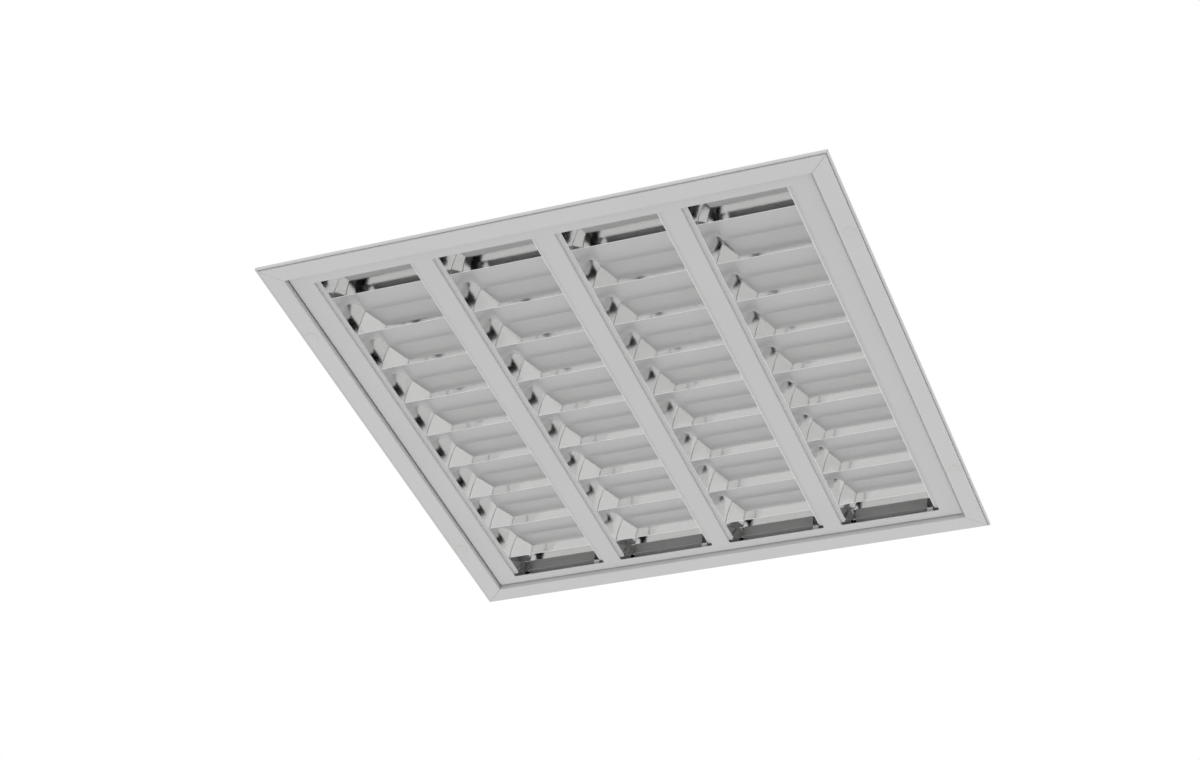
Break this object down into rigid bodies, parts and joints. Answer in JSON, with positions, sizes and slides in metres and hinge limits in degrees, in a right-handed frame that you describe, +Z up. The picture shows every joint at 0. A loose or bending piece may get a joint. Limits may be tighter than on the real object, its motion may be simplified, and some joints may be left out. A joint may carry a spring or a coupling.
{
  "type": "recessed troffer light",
  "caption": "Square recessed troffer: mitred trim frame round a hinged louvre panel with long slots, over a shallow housing held by swing clamps.",
  "frame": {"origin": "centre of the ceiling opening in the plane of the ceiling's underside, where the frame's seal meets the ceiling", "axes": "+Z up into the ceiling void; +Y along the louvre slots, away from the picture's camera; +X to the right, away from the hinge side"},
  "size_m": [0.648, 0.648, 0.0923],
  "materials": {
    "blade_aluminium": "bright semi-specular anodised aluminium sheet",
    "board_laminate": "white solder-masked aluminium strip with small emitters",
    "cap_plastic": "moulded satin white plastic",
    "driver_case": "moulded plastic case",
    "frame_paint": "extruded aluminium, fine satin white powder coat",
    "grommet_rubber": "soft black rubber",
    "housing_paint": "white coil-coated steel sheet",
    "opal_diffuser": "opal acrylic, satin",
    "panel_paint": "folded steel sheet, satin white powder coat",
    "reflector_aluminium": "bright semi-specular anodised aluminium sheet",
    "seal_foam": "closed-cell foam strip",
    "spacer_plastic": "plain moulded plastic",
    "spring_steel": "hardened strip steel, bright",
    "terminal_plastic": "moulded plastic",
    "tray_paint": "white coil-coated steel sheet",
    "zinc_steel": "bright zinc-plated steel"
  },
  "bodies": {
    "fixture": {"cable_grommet": "grommet_rubber", "catch_spring_far": "spring_steel", "catch_spring_near": "spring_steel", "ceiling_seal": "seal_foam", "clamp_bracket_far_left": "zinc_steel", "clamp_bracket_far_right": "zinc_steel", "clamp_bracket_near_left": "zinc_steel", "clamp_bracket_near_right": "zinc_steel", "cleat_screws": "zinc_steel", "corner_cleats": "zinc_steel", "diffuser_1": "opal_diffuser", "diffuser_2": "opal_diffuser", "diffuser_3": "opal_diffuser", "diffuser_4": "opal_diffuser", "driver_screws": "zinc_steel", "earth_terminal": "zinc_steel", "gear_tray": "tray_paint", "gear_tray_screws": "zinc_steel", "hinge_bracket_far": "zinc_steel", "hinge_bracket_near": "zinc_steel", "housing": "housing_paint", "housing_screws": "zinc_steel", "housing_spacers": "spacer_plastic", "led_board_1": "board_laminate", "led_board_2": "board_laminate", "led_board_3": "board_laminate", "led_board_4": "board_laminate", "led_driver": "driver_case", "screw_caps": "cap_plastic", "terminal_block": "terminal_plastic", "trim_far": "frame_paint", "trim_left": "frame_paint", "trim_near": "frame_paint", "trim_right": "frame_paint"},
    "louvre_door": {"louvre_panel": "panel_paint", "hinge_pins": "zinc_steel", "blades_1": "blade_aluminium", "blades_2": "blade_aluminium", "blades_3": "blade_aluminium", "blades_4": "blade_aluminium", "end_plates_1": "reflector_aluminium", "end_plates_2": "reflector_aluminium", "end_plates_3": "reflector_aluminium", "end_plates_4": "reflector_aluminium", "reflector_left_1": "reflector_aluminium", "reflector_left_2": "reflector_aluminium", "reflector_left_3": "reflector_aluminium", "reflector_left_4": "reflector_aluminium", "reflector_right_1": "reflector_aluminium", "reflector_right_2": "reflector_aluminium", "reflector_right_3": "reflector_aluminium", "reflector_right_4": "reflector_aluminium"},
    "screw_near_right": {"clamp_screw_near_right": "zinc_steel"},
    "arm_near_right": {"clamp_arm_near_right": "zinc_steel"},
    "screw_far_right": {"clamp_screw_far_right": "zinc_steel"},
    "arm_far_right": {"clamp_arm_far_right": "zinc_steel"},
    "screw_near_left": {"clamp_screw_near_left": "zinc_steel"},
    "arm_near_left": {"clamp_arm_near_left": "zinc_steel"},
    "screw_far_left": {"clamp_screw_far_left": "zinc_steel"},
    "arm_far_left": {"clamp_arm_far_left": "zinc_steel"}
  },
  "joints": [
    {"name": "louvre_panel_hinge", "type": "hinge", "parent": "fixture", "child": "louvre_door", "pos_m": [-0.293, 0, 0.005], "axis": [0, 1, 0], "range_deg": [0, 90]},
    {"name": "clamp_near_right_turn", "type": "hinge", "parent": "fixture", "child": "screw_near_right", "pos_m": [0.312, -0.207, 0], "axis": [0, 0, 1], "range_deg": [0, 90]},
    {"name": "clamp_near_right_travel", "type": "slide", "parent": "screw_near_right", "child": "arm_near_right", "axis": [0, 0, 1], "range_m": [-0.028, 0]},
    {"name": "clamp_far_right_turn", "type": "hinge", "parent": "fixture", "child": "screw_far_right", "pos_m": [0.312, 0.207, 0], "axis": [0, 0, 1], "range_deg": [0, 90]},
    {"name": "clamp_far_right_travel", "type": "slide", "parent": "screw_far_right", "child": "arm_far_right", "axis": [0, 0, 1], "range_m": [-0.028, 0]},
    {"name": "clamp_near_left_turn", "type": "hinge", "parent": "fixture", "child": "screw_near_left", "pos_m": [-0.312, -0.207, 0], "axis": [0, 0, 1], "range_deg": [0, 90]},
    {"name": "clamp_near_left_travel", "type": "slide", "parent": "screw_near_left", "child": "arm_near_left", "axis": [0, 0, 1], "range_m": [-0.028, 0]},
    {"name": "clamp_far_left_turn", "type": "hinge", "parent": "fixture", "child": "screw_far_left", "pos_m": [-0.312, 0.207, 0], "axis": [0, 0, 1], "range_deg": [0, 90]},
    {"name": "clamp_far_left_travel", "type": "slide", "parent": "screw_far_left", "child": "arm_far_left", "axis": [0, 0, 1], "range_m": [-0.028, 0]}
  ]
}
